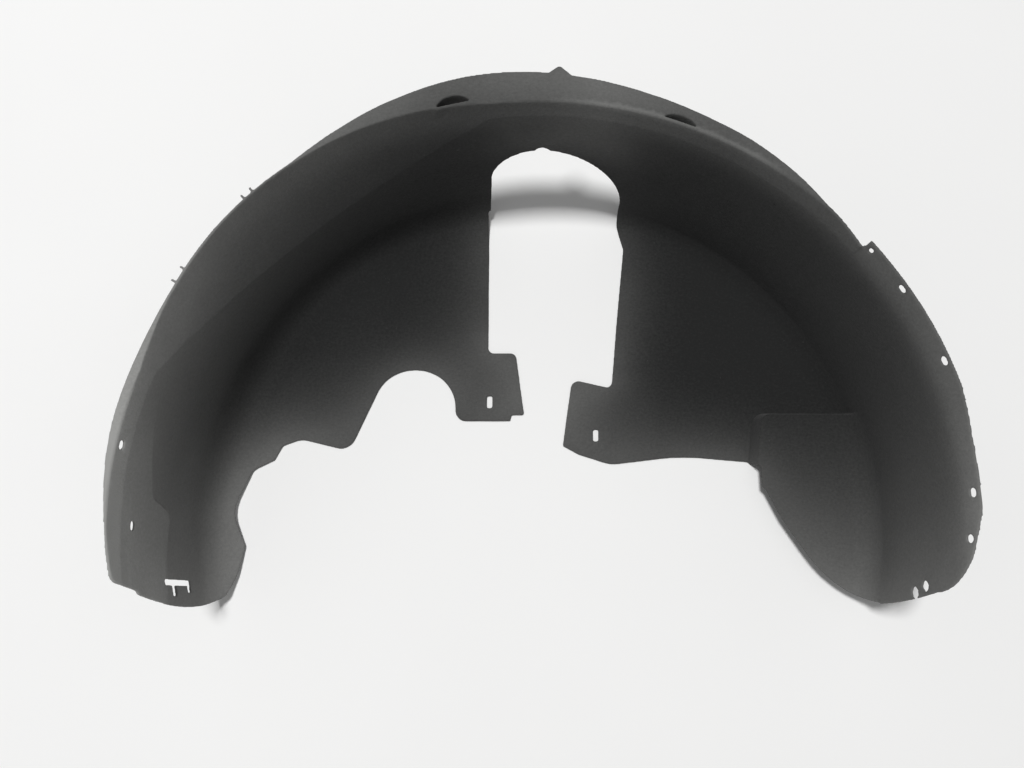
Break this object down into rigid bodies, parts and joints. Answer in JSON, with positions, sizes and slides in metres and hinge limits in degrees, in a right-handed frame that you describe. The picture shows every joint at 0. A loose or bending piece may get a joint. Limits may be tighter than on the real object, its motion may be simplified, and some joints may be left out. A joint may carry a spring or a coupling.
{
  "type": "wheel arch liner",
  "caption": "Moulded felt wheel arch liner: a half-round bowl with a flat side wall, a strut slot with screw tabs, an outward flange and fixing holes along its rim.",
  "frame": {"origin": "middle of the liner's box, on the plane of the side wall's back, which it lies on", "axes": "+X along the car, +Y up to the top of the arch when fitted, +Z from the side wall to the open wheel side"},
  "size_m": [0.881, 0.599, 0.25],
  "materials": {
    "felt": "matte black needle felt, pressed smooth at the moulded edges"
  },
  "bodies": {
    "root": {"wheel_arch_liner": "felt"}
  },
  "joints": []
}
